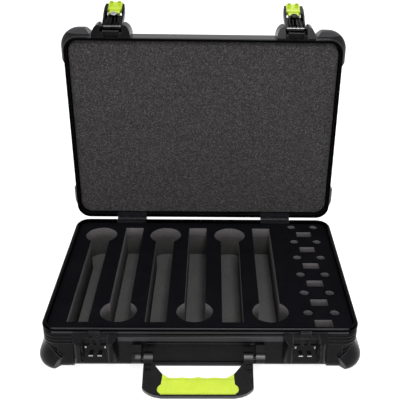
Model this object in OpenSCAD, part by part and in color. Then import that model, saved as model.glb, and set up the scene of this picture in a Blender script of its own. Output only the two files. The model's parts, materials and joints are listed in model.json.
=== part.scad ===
// Hard case for six hand-held microphones and their batteries, standing open.
// The case lies on its base. X runs to the right, Y to the back, Z up; millimetres.
// The origin is the centre of the base's flat underside. Pieces of the lid and of the
// latches are written as they lie when shut, and turned to the open pose by lidPose()
// and leverPose().

/* [Case] */
// Width over the rims
case_w = 480; // [470:5:560]
// Depth over the rims, front to back
case_d = 344; // [340:2:400]
// Height of the base, ground to parting plane
base_h = 71; // [70:1:90]
// Height of the lid above the parting plane
lid_h = 48; // [46:1:70]
// Outer radius of the rims' corners
corner_r = 24; // [20:1:32]
// Thickness of the moulded shells
shell_t = 3; // [2.5:0.1:3.5]
// Angle at which the hinges stop the lid
lid_angle = 90; // [80:1:95]

/* [Rims] */
// Width of the base rim, seen from above
base_rim_w = 7; // [6.5:0.1:9]
// Thickness of the base rim's outer flange
base_flange_t = 2; // [1.6:0.1:2.4]
// Height of the base rim's outer flange
base_flange_h = 7; // [5:0.5:9]
// Height of the tongue above the parting plane
tongue_h = 2.2; // [1.5:0.1:2.4]
// Width of the seal groove beside the tongue
seal_w = 1.1; // [0.8:0.1:1.2]
// Thickness of the lid rim's outer flange
lid_flange_t = 1.5; // [1.2:0.1:1.8]
// Height of the lid rim's outer flange
lid_flange_h = 7; // [5:0.5:9]

/* [Corner bumpers] */
// How far the base's bumpers swell past the rim
base_bulge = 9.6; // [6:0.2:12]
// How far the lid's bumpers swell past the rim
lid_bulge = 10.4; // [6:0.2:12]
// Length of a bumper along the case's side, from the corner
bumper_side_len = 60; // [50:1:80]
// Length of a bumper along the front or back, from the corner
bumper_front_len = 46; // [44:1:47]

/* [Foam] */
// Depth of the foam's face below the base's parting plane
foam_drop = 3.6; // [3.6:0.1:6]
// Thickness of the black facing
facing_t = 2; // [1.5:0.1:4]
// Thickness of the light upper layer
upper_t = 17; // [10:1:20]
// Thickness of the sheet under the pockets
sheet_t = 5.4; // [4:0.2:8]
// Depth of the lid foam's face inside the lid
lid_foam_drop = 10.5; // [8:0.5:16]

/* [Microphone pockets] */
// Number of pockets
pocket_count = 6; // [4:1:6]
// Spacing of the pockets
pocket_pitch = 59.4; // [59:0.2:61]
// Length of a pocket, head and shaft
pocket_len = 294; // [270:2:300]
// Width of a pocket's shaft
shaft_w = 33; // [28:1:36]
// Diameter of a pocket's head
head_d = 57; // [50:1:60]
// Place of the first pocket's middle, from the rim's left edge
pocket_first = 51.5; // [48:0.5:54]

/* [Battery holes] */
// Rows of holes, each two round cells and one block cell
cell_rows = 6; // [3:1:6]
// Spacing of the rows
cell_pitch = 54.5; // [50:0.5:56]
// Diameter of a round cell's hole
cell_d = 14.8; // [14.6:0.1:17]
// Distance between the two round holes of a row
cell_gap = 41.8; // [38:0.2:44]
// Width of a block cell's hole
block_w = 27.6; // [27:0.2:30]
// Depth front to back of a block cell's hole
block_d = 20; // [18:0.5:22]
// How deep the battery holes go into the foam
cell_depth = 42; // [30:1:50]
// Place of the battery holes' middle, from the rim's right edge
cell_inset = 51.6; // [48:0.5:56]

/* [Hinges] */
// Sideways place of each hinge from the middle
hinge_x = 137.5; // [120:0.5:150]
// Length of a hinge along the rim
hinge_w = 55; // [45:1:70]
// Distance of the hinge axis behind the rims
hinge_off = 3.5; // [3.4:0.1:4]
// Diameter of a hinge pin
hinge_pin_d = 3; // [2.5:0.1:3.4]

/* [Latches] */
// Sideways place of each latch from the middle
latch_x = 158; // [150:0.5:161]
// Width of a latch guard at the case
guard_w = 67; // [66:0.5:70]
// How far a latch guard stands out of the case
guard_h = 20.5; // [20:0.5:24]
// Width of the lever
lever_w = 36; // [35:0.5:36]
// Length of the lever from its pin to the arms' tips
lever_len = 70; // [69:0.5:71]
// Height of the lever's pin above the parting plane
lever_rise = 27; // [26.5:0.5:28]
// Distance of the lever's pin from the case
lever_out = 13.5; // [13.2:0.1:14]
// Diameter of the lever's pin
lever_pin_d = 4; // [3:0.1:5]
// How far the levers stand open from their shut place
lever_angle = 158; // [120:1:158]
// Width of the trigger
trigger_w = 24.5; // [23:0.5:24.5]
// Diameter of the trigger's pin
trigger_pin_d = 3; // [2.5:0.1:3.4]
// Diameter of the lock cylinder
lock_d = 11; // [10:0.5:11]

/* [Handle] */
// Sideways place of the handle from the middle
handle_x = -3; // [-4:0.5:4]
// Width over the handle's arms
handle_w = 163; // [160:1:170]
// Length of the handle from its pins to its outer edge
handle_len = 63; // [61:1:63]
// Height of the handle's pins above the ground
handle_z = 31; // [28:1:34]
// Distance of the handle's pins from the case
handle_out = 13; // [12.5:0.1:15]
// Diameter of the handle's pins
handle_pin_d = 6; // [5:0.5:7]
// Angle of the handle below level as it rests on the ground
handle_angle = 24.5; // [10:0.5:24.5]

/* [Hidden] */

$fn = 48;
inf = 400;            // longer than any piece that it cuts
fit = 0.05;           // radial clearance of a pin in its bore
seat_gap = 0.3;       // clearance between pieces that lie side by side

// Planes and axes
front_y = -case_d / 2;
axis_y = case_d / 2 + hinge_off;
axis_z = base_h;
lever_y = front_y - lever_out;
lever_z = base_h + lever_rise;
handle_y = front_y - handle_out;

// Shell walls, as offsets from the rims' outer face
base_wall = -base_flange_t;
lid_wall = -lid_flange_t;
base_draft = 1.5;
base_edge_r = 8;
bumper_step = 3;
lid_edge_r = 9;
part_gap = 0.3;       // between the rims when the case is shut
lid_web_z = tongue_h + 0.4;
lid_web_t = 1.6;

// Foam levels above the ground
facing_top = base_h - foam_drop;
upper_top = facing_top - facing_t;
lower_top = upper_top - upper_t;
sheet_top = shell_t + sheet_t;
foam_fit = 0.3;
lower_inset = 12;     // the lower foam is cut back clear of the handle recess
pocket_mid_y = 1;
cell_first_y = case_d / 2 - 19.4;

// Ridges moulded round the base
ridge_pitch = 6;
ridge_h = 3.6;
ridge_z = [for (i = [3:-1:1]) base_h - base_flange_h - 1.5 - i * ridge_pitch];
band_h = 10;
band_z = base_h - base_flange_h - band_h - 4;
band_x = latch_x - guard_w / 2;

// Handle recess in the front
recess_w = handle_w - 2;
recess_z = 5;
recess_h = band_z - recess_z - 5.5;
recess_depth = 4;

// ---------- helpers ----------

// A flat outline with round corners
module roundRect(w, d, r) {
    square([w - 2 * r, d], center = true);
    square([w, d - 2 * r], center = true);
    for (x = [-1, 1], y = [-1, 1])
        translate([x * (w / 2 - r), y * (d / 2 - r)]) circle(r);
}

// A plate whose edge lies inset from the rims' outer face
module insetPlate(inset, z, h) {
    translate([0, 0, z]) linear_extrude(h)
        roundRect(case_w - 2 * inset, case_d - 2 * inset, max(corner_r - inset, 2));
}

// Sweeps a profile round the case: its x is the offset out from the rims' face
module ring() {
    for (i = [0:3]) {
        len = i % 2 == 0 ? case_w : case_d;
        off = i % 2 == 0 ? case_d / 2 : case_w / 2;
        rotate(90 * i) {
            translate([len / 2 - corner_r, -off, 0]) rotate([90, 0, -90])
                linear_extrude(len - 2 * corner_r) children();
            translate([len / 2 - corner_r, corner_r - off, 0]) rotate(-90)
                rotate_extrude(angle = 90) translate([corner_r, 0]) children();
        }
    }
}

// Extrudes a profile of (distance out of the front, height) along X, about the middle
module frontProfile(len) {
    translate([len / 2, front_y, 0]) rotate([90, 0, -90]) linear_extrude(len) children();
}

// A block on the front face: x is centred, out from n0 to n1, up from z0 to z1
module frontBlock(w, n0, n1, z0, z1) {
    translate([-w / 2, front_y - n1, z0]) cube([w, n1 - n0, z1 - z0]);
}

// A round bar along X
module barX(r, len) {
    rotate([0, 90, 0]) cylinder(r = r, h = len, center = true);
}

// Turns a piece of the shut lid to where the open lid stands
module lidPose() {
    translate([0, axis_y, axis_z]) rotate([-lid_angle, 0, 0])
        translate([0, -axis_y, -axis_z]) children();
}

// Turns a piece of the shut lever to where the open lever stands on the shut lid
module leverPose() {
    translate([0, lever_y, lever_z]) rotate([-lever_angle, 0, 0])
        translate([0, -lever_y, -lever_z]) children();
}

// Height of a place on the shut lever, as a distance from its pin
function lever_at(s) = lever_z - s;

// ---------- shells ----------

module baseWallProfile() {
    t = shell_t;
    r = base_edge_r;
    foot = base_wall - base_draft;
    inner_r = r - t;
    polygon(concat(
        [[base_wall, base_h - 1.5], [base_wall, base_h / 2], [foot, r]],
        [for (a = [15:15:90]) [foot - r + r * cos(a), r - r * sin(a)]],
        [[foot - r - 4, 0], [foot - r - 4, t]],
        [for (a = [90:-15:0]) [foot - r + inner_r * cos(a), r - inner_r * sin(a)]],
        [[base_wall - t, base_h / 2], [base_wall - t, base_h - 1.5]]
    ));
}

module lidWallProfile() {
    t = shell_t;
    r = lid_edge_r;
    inner_r = r - t;
    top = base_h + lid_h;
    foot = base_h + lid_web_z + lid_web_t;
    polygon(concat(
        [[lid_wall - t, foot], [lid_wall, foot]],
        [for (a = [0:15:90]) [lid_wall - r + r * cos(a), top - r + r * sin(a)]],
        [[lid_wall - r - 4, top], [lid_wall - r - 4, top - t]],
        [for (a = [90:-15:0]) [lid_wall - r + inner_r * cos(a), top - r + inner_r * sin(a)]]
    ));
}

// The swell of a bumper, from its root at z0 through its widest at z1 to the flat end at z2
module bumperProfile(z0, z1, z2, bulge, root) {
    steps = 8;
    polygon(concat(
        [[root - 1, z0]],
        [for (i = [0:steps]) let (t = i / steps)
            [root + (bulge - root) * t * t * (3 - 2 * t), z0 + (z1 - z0) * t]],
        [for (a = [18:18:90]) [bulge - 8 + 8 * cos(a), z1 + (z2 - z1) * sin(a)]],
        [[root - base_edge_r, z2], [root - base_edge_r, z2 + (z1 - z2) * 0.4], [root - 1, z1]]
    ));
}

// A wedge that cuts a bumper's end back: it slopes inwards to the wall and leans by an angle
module bumperEnd(x, y, z, turn, lean) {
    translate([x, y, z]) rotate([0, -lean, turn]) translate([-inf, -inf / 2, -inf / 2]) cube(inf);
}

// Four bumpers, swept round the corners, with slanting ends
module bumpers(z0, z1, z2, bulge, root, front_len, lean, brow_z, brow_rise) {
    for (x = [-1, 1], y = [-1, 1]) mirror([x < 0 ? 1 : 0, 0, 0]) mirror([0, y > 0 ? 1 : 0, 0]) {
        difference() {
            union() {
                translate([case_w / 2 - corner_r, corner_r - case_d / 2, 0]) rotate(-90)
                    rotate_extrude(angle = 90) translate([corner_r, 0])
                        bumperProfile(z0, z1, z2, bulge, root);
                translate([case_w / 2 - corner_r, -case_d / 2, 0]) rotate([90, 0, -90])
                    linear_extrude(bumper_front_len - corner_r) bumperProfile(z0, z1, z2, bulge, root);
                translate([case_w / 2, bumper_side_len - case_d / 2, 0]) rotate([90, 0, 0])
                    linear_extrude(bumper_side_len - corner_r) bumperProfile(z0, z1, z2, bulge, root);
            }
            bumperEnd(case_w / 2 - front_len, -case_d / 2 - bulge, z1, 45, lean);
            bumperEnd(case_w / 2 + bulge, bumper_side_len - 14 - case_d / 2, z1, -135, lean);
            // The brow: a ledge over the swell that climbs towards the corner
            translate([case_w / 2 - corner_r, 0, brow_z]) rotate([0, -brow_rise, 0])
                translate([-inf / 2, -inf / 2, 0]) cube(inf);
        }
        // The low step beyond the swell
        translate([case_w / 2 - corner_r, -case_d / 2, 0]) rotate([90, 0, -90])
            linear_extrude(bumper_front_len - corner_r) bumperProfile(z0, z1, z2, root + bumper_step, root);
        translate([case_w / 2, bumper_side_len - case_d / 2, 0]) rotate([90, 0, 0])
            linear_extrude(bumper_side_len - corner_r) bumperProfile(z0, z1, z2, root + bumper_step, root);
    }
}

// A pad that brings a shell's wall out to the rims' face
module wallPad(x, w, wall, z0, z1, back = false) {
    translate([x, 0, 0]) mirror([0, back ? 1 : 0, 0]) frontBlock(w, wall - 1, 0, z0, z1);
}

// Room on the front for the latch guards
module guardRoom() {
    for (x = [-1, 1]) translate([x * latch_x, 0, 0]) frontBlock(guard_w + 2 * seat_gap, 0, inf, 0, inf);
}

// The outline of the handle recess, grown by d
module recessOutline(d) {
    translate([handle_x, recess_z + recess_h / 2])
        roundRect(recess_w + 2 * d, recess_h + 2 * d, 4 + d);
}

module recessBlock(d, n0, n1) {
    translate([0, front_y - n0, 0]) rotate([90, 0, 0]) linear_extrude(n1 - n0) recessOutline(d);
}

module ridges() {
    for (z = ridge_z)
        ring() polygon([[base_wall - 1, z], [base_wall, z], [base_wall + 1.8, z + 0.9],
            [base_wall + 1.8, z + ridge_h - 0.9], [base_wall, z + ridge_h], [base_wall - 1, z + ridge_h]]);
}

module baseShell() {
    color([0.07, 0.07, 0.08]) difference() {
        union() {
            ring() baseWallProfile();
            insetPlate(base_edge_r + base_draft - base_wall + 3.5, 0, shell_t);
            difference() {
                ridges();
                frontBlock(2 * (latch_x + guard_w / 2), -inf / 2, inf, 0, base_h);
            }
            frontProfile(2 * band_x) polygon([[base_wall - 1, band_z], [base_wall, band_z],
                [0, band_z + 1], [0, band_z + band_h - 2], [base_wall, band_z + band_h],
                [base_wall - 1, band_z + band_h]]);
            difference() {
                bumpers(base_h - 25, 13, 0, base_bulge, base_wall, 19, 24, 28, 37);
                guardRoom();
            }
            for (x = [-1, 1]) {
                wallPad(x * latch_x, guard_w, base_wall, keeper_z0, base_h - base_flange_h - 0.2);
                wallPad(x * hinge_x, hinge_w, base_wall, hinge_plate_z0, base_h - base_flange_h - 0.2, true);
            }
            recessBlock(shell_t, base_wall - shell_t - recess_depth, base_wall);
        }
        recessBlock(0, base_wall - recess_depth, inf);
        for (x = [-1, 1]) translate([handle_x + x * bracket_mid, 0, 0])
            frontBlock(bracket_w + 2 * seat_gap, base_wall + 0.05, inf, handle_z - 15, handle_z + 15 + seat_gap);
        rivetHoles();
        for (x = [-1, 1]) translate([x * latch_x, 0, 0]) strikeRivetSpots() rivetBore(4);
        for (x = [-1, 1], z = [-9, 9]) translate([handle_x + x * bracket_mid, front_y, handle_z + z])
            rotate([90, 0, 0]) cylinder(d = 4, h = inf, center = true);
    }
}

module lidShell() {
    top = base_h + lid_h;
    color([0.07, 0.07, 0.08]) difference() {
        union() {
            ring() lidWallProfile();
            insetPlate(lid_edge_r - lid_wall + 3.5, top - shell_t, shell_t);
            difference() {
                bumpers(base_h + 14, top - 12, top, lid_bulge, lid_wall, 34, 0, top + 1, 0);
                guardRoom();
            }
            for (x = [-1, 1]) {
                wallPad(x * latch_x, guard_w, lid_wall, base_h + lid_flange_h + 0.5, mount_z1);
                wallPad(x * hinge_x, hinge_w, lid_wall, base_h + lid_flange_h + 0.5,
                    base_h + hinge_plate_h, true);
            }
            for (y = [-2:2]) translate([0, y * 44, top]) rotate([0, 90, 0])
                linear_extrude(case_w - 150, center = true)
                    polygon([[0.5, -7], [-1, -5.5], [-1, 5.5], [0.5, 7]]);
        }
        translate([0, 0, 2 * base_h]) mirror([0, 0, 1]) rivetHoles();
    }
}

// ---------- rims ----------

hinge_cut_w = hinge_w + 2 * seat_gap;

module baseRim() {
    w = base_rim_w;
    t = base_flange_t;
    z = base_h;
    inner_h = 10;
    color([0.1, 0.1, 0.11]) difference() {
        ring() polygon([
            [0, z - base_flange_h], [0, z - 0.4], [-0.4, z], [seal_w - t, z], [seal_w - t, z - 1.2],
            [-t, z - 1.2], [-t, z + tongue_h - 0.5], [-t - 0.5, z + tongue_h], [-w + 0.5, z + tongue_h],
            [-w, z + tongue_h - 0.5], [-w, z - inner_h], [base_wall - shell_t - 0.1, z - inner_h],
            [base_wall - shell_t - 0.1, z - 1.4], [base_wall + 0.1, z - 1.4], [base_wall + 0.1, z - base_flange_h]
        ]);
        for (x = [-1, 1]) translate([x * hinge_x - hinge_cut_w / 2, case_d / 2 - w - 1, z - leaf_t - 0.2])
            cube([hinge_cut_w, w + 2, inf]);
    }
}

module lidRim() {
    z = base_h + part_gap;
    web = base_h + lid_web_z;
    inner = lid_wall - shell_t;
    color([0.1, 0.1, 0.11]) difference() {
        ring() polygon([
            [-0.4, z], [-lid_flange_t + 0.3, z], [-lid_flange_t, z + 0.3], [-lid_flange_t, web], [inner, web],
            [inner, web + lid_web_t - 0.1], [lid_wall + 0.1, web + lid_web_t - 0.1],
            [lid_wall + 0.1, z + lid_flange_h], [0, z + lid_flange_h], [0, z + 0.4]
        ]);
        for (x = [-1, 1]) translate([x * hinge_x - hinge_cut_w / 2, case_d / 2 + inner - 1, 0])
            cube([hinge_cut_w, inf, base_h + part_gap + leaf_t + 0.1]);
    }
}

// ---------- foam ----------

// Where the pockets' heads and shafts lie, alternately turned
module pockets() {
    for (i = [0:pocket_count - 1]) {
        turn = i % 2 == 0 ? 1 : -1;
        translate([pocket_first - case_w / 2 + i * pocket_pitch, pocket_mid_y]) {
            square([shaft_w, pocket_len - head_d], center = true);
            translate([0, turn * (pocket_len - head_d) / 2]) circle(d = head_d);
            translate([0, -turn * (pocket_len - head_d / 2) / 2])
                square([shaft_w, head_d / 2], center = true);
        }
    }
}

module cells() {
    for (i = [0:cell_rows - 1])
        translate([case_w / 2 - cell_inset, cell_first_y - i * cell_pitch]) {
            for (x = [-1, 1]) translate([x * cell_gap / 2, 0]) circle(d = cell_d);
            translate([0, -cell_pitch / 2]) square([block_w, block_d], center = true);
        }
}

module foamLayer(inset, z0, z1, cell_floor) {
    difference() {
        insetPlate(inset, z0, z1 - z0);
        translate([0, 0, z0 - 1]) linear_extrude(z1 - z0 + 2) pockets();
        translate([0, 0, max(z0 - 1, cell_floor)]) linear_extrude(inf) cells();
    }
}

module foamBaseSheet() {
    color([0.42, 0.42, 0.42]) insetPlate(lower_inset, shell_t, sheet_t);
}

module foamLower() {
    color([0.34, 0.34, 0.33]) foamLayer(lower_inset, sheet_top, lower_top, facing_top - cell_depth);
}

module foamUpper() {
    color([0.46, 0.46, 0.46]) foamLayer(base_rim_w + foam_fit, lower_top, upper_top, facing_top - cell_depth);
}

module foamFacing() {
    color([0.06, 0.06, 0.07]) foamLayer(base_rim_w + foam_fit, upper_top, facing_top, facing_top - cell_depth);
}

module lidFoam() {
    z = base_h + lid_foam_drop;
    top = base_h + lid_h - shell_t;
    edge = lid_edge_r - shell_t;
    inset = shell_t - lid_wall + 1;
    color([0.2, 0.2, 0.21]) {
        insetPlate(inset, z, top - edge - z);
        insetPlate(inset + edge, top - edge, edge);
    }
}

// ---------- hinges ----------

leaf_t = 1.3;
hinge_back_t = 1.8;
knuckle_r = 3.2;
knuckles = 5;
hinge_plate_h = 24;
hinge_plate_z0 = base_h - hinge_plate_h;
stop_reach = 8;
rivet_d = 4;
rivet_z = base_h - 18.5;

module hingeRivetSpots() {
    for (h = [-1, 1], x = [-1, 0, 1])
        translate([h * hinge_x + x * hinge_w * 0.36, case_d / 2, rivet_z]) rotate([90, 0, 0]) children();
}

module rivetHoles() {
    hingeRivetSpots() cylinder(d = rivet_d, h = 40, center = true);
}

// One leaf, lying below the parting plane: a plate let into the rim, a lip down the
// rim's inner side, the knuckles, a plate down the back and a slanting stop
module hingeLeaf(rim_w, lip_h, gap, odd) {
    kw = hinge_w / knuckles;
    back = -hinge_off;
    plate_y = back - rim_w - seat_gap - leaf_t;
    difference() {
        translate([0, axis_y, axis_z]) rotate([90, 0, 90]) {
            translate([0, 0, -hinge_w / 2]) linear_extrude(hinge_w) {
                translate([plate_y, -gap - leaf_t]) square([-knuckle_r - 0.5 - plate_y, leaf_t]);
                translate([plate_y, -lip_h]) square([leaf_t, lip_h - gap]);
                polygon([[back, -4.2], [back + hinge_back_t, -4.2], [4.6, -4.9], [stop_reach, -stop_reach - 0.3],
                    [stop_reach, -11], [back + hinge_back_t, -15], [back + hinge_back_t, -hinge_plate_h],
                    [back, -hinge_plate_h]]);
            }
            for (k = [0:knuckles - 1]) if (k % 2 == odd)
                translate([0, 0, -hinge_w / 2 + k * kw + (k == 0 ? 0 : 0.15)])
                    linear_extrude(kw - (k == 0 || k == knuckles - 1 ? 0.15 : 0.3)) {
                        circle(knuckle_r);
                        polygon([[-knuckle_r - 0.6, -gap], [-1, -gap], [-1, -3], [1, -3], [4.6, -4.9],
                            [back, -4.3], [back, -gap - leaf_t], [-knuckle_r - 0.6, -gap - leaf_t]]);
                    }
        }
        translate([0, axis_y, axis_z]) barX(hinge_pin_d / 2 + fit, hinge_w + 2);
        translate([-hinge_x, 0, 0]) hingeRivetSpots() cylinder(d = rivet_d, h = 40, center = true);
    }
}

module hingeBaseLeaf() {
    color([0.16, 0.16, 0.17]) hingeLeaf(base_rim_w, foam_drop - 0.2, 0, 0);
}

module hingeLidLeaf() {
    color([0.16, 0.16, 0.17]) translate([0, 0, 2 * axis_z]) mirror([0, 0, 1])
        hingeLeaf(shell_t - lid_wall, lid_foam_drop - 0.3, part_gap, 1);
}

module hingePin() {
    color([0.6, 0.6, 0.62]) translate([0, axis_y, axis_z]) barX(hinge_pin_d / 2, hinge_w);
}

// A rivet through plate and wall, its head on the outside
module rivet(wall_in) {
    translate([0, 0, -hinge_back_t]) cylinder(d = rivet_d - 0.04, h = hinge_back_t - wall_in);
    translate([0, 0, -hinge_back_t - 1.6]) cylinder(d1 = 5, d2 = 7.5, h = 1.6);
    translate([0, 0, -wall_in]) cylinder(d = 6, h = 0.6);
}

module hingeBaseRivets() {
    color([0.45, 0.45, 0.47]) hingeRivetSpots() rivet(base_wall - shell_t);
}

module hingeLidRivets() {
    color([0.45, 0.45, 0.47]) translate([0, 0, 2 * axis_z]) mirror([0, 0, 1])
        hingeRivetSpots() rivet(lid_wall - shell_t);
}

// ---------- keepers on the base ----------

keeper_z0 = 11;
keeper_z1 = base_h - 4;
keeper_top = base_h - 12;
keeper_bottom = base_h - 44;
recess_half = lever_w / 2 + 2;
roof_n = 9;
tab_w = 16;
strike_t = 1.6;
strike_n = 2.2;
lip_z = base_h - 40;
lip_n = 11;
strike_rivet_x = 15;
strike_rivet_z = lip_z + 12;
strike_top = lip_z + 16;

// Plan outline of a latch guard: sloping flanks either side of a slot
module guardPlan(slot_half, floor_n) {
    half = guard_w / 2;
    h = guard_h;
    swell = half - slot_half - 2.4;
    side = concat([for (a = [0:10:80]) [slot_half + 2.4 + swell * cos(a), h * sin(a)]],
        [[slot_half + 2.4, h], [slot_half + 1, h - 1.6], [slot_half, h - 1.6], [slot_half, floor_n]]);
    mirrored = [for (i = [len(side) - 1:-1:0]) [-side[i][0], side[i][1]]];
    mirror([0, 1]) polygon(concat(side, mirrored));
}

module strikeRivetSpots() {
    for (x = [-1, 1]) translate([x * strike_rivet_x, front_y, strike_rivet_z]) rotate([90, 0, 0]) children();
}

module rivetBore(d) {
    cylinder(d = d, h = 40, center = true);
}

module keeper() {
    color([0.06, 0.06, 0.07]) difference() {
        union() {
            intersection() {
                translate([0, front_y, 0]) linear_extrude(base_h) guardPlan(recess_half, strike_n - 0.2);
                frontProfile(guard_w + 2) polygon([[-1, keeper_z0], [0, keeper_z0], [guard_h, keeper_bottom],
                    [guard_h + 1, keeper_bottom], [guard_h + 1, keeper_top], [guard_h, keeper_top],
                    [0, keeper_z1], [-1, keeper_z1]]);
                translate([0, front_y + 2, 0]) rotate([90, 0, 0]) linear_extrude(guard_h + 4)
                    polygon([[-guard_w / 2, base_h], [-guard_w / 2, keeper_bottom - 2], [3 - guard_w / 2, keeper_bottom - 5],
                        [10 - guard_w / 2, keeper_z0], [guard_w / 2 - 10, keeper_z0], [guard_w / 2 - 3, keeper_bottom - 5],
                        [guard_w / 2, keeper_bottom - 2], [guard_w / 2, base_h]]);
            }
            // Roof over the catch, with its front bar
            frontProfile(2 * recess_half) polygon([[0, keeper_z1 - 4.5], [0, keeper_z1], [roof_n, keeper_z1 - 2.5],
                [roof_n, keeper_z1 - 5], [roof_n - 2, keeper_z1 - 5]]);
            // Locating tab for the lid
            frontBlock(tab_w, 2, 6.8, keeper_z1 - 3, base_h + 1.2);
            // Ribs on the recess's back
            for (x = [-1, 1]) translate([x * 5.2, 0, 0]) frontBlock(5, 0, 5, strike_top + 0.4, keeper_z1 - 4);
            for (x = [-1, 1]) translate([x * (recess_half - 0.6), 0, 0]) frontBlock(1.2, 0, 9, keeper_bottom - 3, keeper_z1 - 4);
        }
        strikeRivetSpots() rivetBore(4);
    }
}

module strike() {
    color([0.62, 0.62, 0.64]) difference() {
        union() {
            frontBlock(2 * recess_half - 3.2, strike_n, strike_n + strike_t, lip_z, strike_top);
            for (x = [-1, 1]) translate([x * 6.7, 0, 0]) frontProfile(6.7)
                polygon([[strike_n + 0.2, lip_z], [lip_n - 1.2, lip_z], [lip_n - 1.2, lip_z - 0.8],
                    [lip_n, lip_z - 0.8], [lip_n, lip_z + strike_t], [strike_n + 0.2, lip_z + strike_t]]);
        }
        strikeRivetSpots() rivetBore(4);
    }
}

module strikeRivets() {
    color([0.75, 0.75, 0.76]) for (x = [-1, 1]) translate([x * latch_x, 0, 0]) strikeRivetSpots() {
        translate([0, 0, base_wall - shell_t]) cylinder(d = 3.96, h = shell_t - base_wall + strike_n + strike_t);
        translate([0, 0, strike_n + strike_t]) cylinder(d1 = 6.4, d2 = 4, h = 1.4);
        translate([0, 0, base_wall - shell_t - 0.6]) cylinder(d = 6, h = 0.6);
    }
}

// ---------- latches on the lid ----------

mount_z1 = base_h + lever_rise + 15.5;
slot_half = lever_w / 2 + 0.5;
slot_floor = 8;
sill_half = 14;
sill_n = lever_out - 2;
eye_r = 4.5;
arm_t = 2.2;
lever_in = 3;         // from the pin's axis to the lever's inner side
lever_face = 7.5;     // from the pin's axis to the lever's outer face
skin_t = 2.5;
taper_from = 52;
neck_half = lever_w / 2 - 0.6;
tip_half = lever_w / 2 - 2.6;
opening_half = trigger_w / 2 + 0.5;
opening_s = 40;
lock_s = 33.6;
boss_r = lock_d / 2 + 1;
lock_proud = 1;
trigger_s = 54;
trigger_tip_s = 75.5;
trigger_n = lever_out + 3;
trigger_z = lever_at(trigger_s);
hook_in = 8;
hook_z = lip_z - 0.3;

module latchMount() {
    color([0.06, 0.06, 0.07]) difference() {
        intersection() {
            translate([0, front_y, 0]) linear_extrude(inf) guardPlan(slot_half, 0.01);
            frontProfile(guard_w + 2) polygon([[-1, base_h + part_gap], [3, base_h + part_gap],
                [guard_h, base_h + 9], [guard_h + 1, base_h + 9], [guard_h + 1, lever_z + 7],
                [guard_h, lever_z + 7], [2, mount_z1], [-1, mount_z1]]);
        }
        translate([0, lever_y, lever_z]) barX(lever_pin_d / 2, 46);
    }
    color([0.06, 0.06, 0.07]) mountFloor();
}

// The slot's floor: a hollow end that takes the base's tab, a well under the pin, and the stop
module mountFloor() {
    lean = 180 - lever_angle;
    stop_n = lever_out - lever_face / cos(lean) - seat_gap;
    difference() {
        union() {
            frontProfile(2 * slot_half) polygon([[0, base_h + part_gap], [slot_floor, base_h + part_gap],
                [slot_floor, base_h + 13], [4, base_h + 18], [4, lever_z + 2],
                [stop_n + 4 * tan(lean), lever_z + 4], [stop_n + 11 * tan(lean), lever_z + 11], [0, mount_z1]]);
            frontProfile(2 * sill_half) polygon([[1, base_h + part_gap], [sill_n, base_h + part_gap],
                [sill_n, base_h + 8], [slot_floor - 1, base_h + 12.5], [1, base_h + 12.5]]);
        }
        frontBlock(2 * sill_half - 4, 1.2, sill_n - 1.2, base_h - 1, base_h + 6.5);
    }
}

module latchPin() {
    color([0.8, 0.8, 0.82]) translate([0, lever_y, lever_z]) barX(lever_pin_d / 2 - 0.02, 46);
}

// Outline of the lever seen from the front: arms that draw in towards the tips
module leverFront(half, tip, s0, s1) {
    side = [[neck_half, lever_at(s0)], [neck_half, lever_at(22)], [half, lever_at(31)],
        [half, lever_at(taper_from)], [tip, lever_at(s1)]];
    polygon(concat(side, [for (i = [len(side) - 1:-1:0]) [-side[i][0], side[i][1]]]));
}

module latchLever() {
    half = lever_w / 2;
    color([0.05, 0.05, 0.06]) difference() {
        union() {
            difference() {
                intersection() {
                    translate([0, front_y - lever_out + lever_in, 0]) rotate([90, 0, 0])
                        linear_extrude(lever_in + lever_face) leverFront(half, tip_half, -eye_r, lever_len);
                    frontProfile(lever_w + 2) {
                        translate([lever_out, lever_z]) circle(eye_r);
                        polygon([[lever_out - lever_in, lever_z], [lever_out + eye_r, lever_z],
                            [lever_out + lever_face, lever_at(8)], [lever_out + lever_face, lever_at(lever_len - 6)],
                            [lever_out + lever_face - 4, lever_at(lever_len)],
                            [lever_out - lever_in + 4, lever_at(lever_len)],
                            [lever_out - lever_in, lever_at(lever_len - 6)]]);
                    }
                }
                // Hollow behind the skin
                frontBlock(2 * (neck_half - arm_t), -inf, lever_out + lever_face - skin_t,
                    lever_at(opening_s + 1), lever_at(6));
                // Gap round the pin, so that only the two eyes hold it
                frontBlock(2 * (neck_half - arm_t), -inf, lever_out + lever_pin_d / 2 + 0.8,
                    lever_at(6.5), lever_z + inf);
                // Opening for the trigger
                translate([0, front_y + 1, 0]) rotate([90, 0, 0]) linear_extrude(inf)
                    polygon([[-opening_half, lever_at(opening_s)], [opening_half, lever_at(opening_s)],
                        [opening_half, lever_at(lever_len + 1)], [-opening_half, lever_at(lever_len + 1)]]);
            }
            // Ribs behind the skin
            for (x = [-9, -3.1, 3.1, 9]) translate([x, 0, 0])
                frontBlock(1.4, lever_out - 1.5, lever_out + lever_face - 1, lever_at(opening_s - 3), lever_at(8));
            // Boss for the lock
            translate([0, front_y - lever_out + lever_in, lever_at(lock_s)]) rotate([90, 0, 0])
                cylinder(r = boss_r, h = lever_in + lever_face);
        }
        translate([0, lever_y, lever_z]) barX(lever_pin_d / 2 + fit, inf);
        translate([0, front_y - trigger_n, trigger_z]) barX(trigger_pin_d / 2, 2 * half - 3);
        translate([0, front_y, lever_at(lock_s)]) rotate([90, 0, 0]) cylinder(d = lock_d + 2 * fit, h = inf);
    }
}

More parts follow.
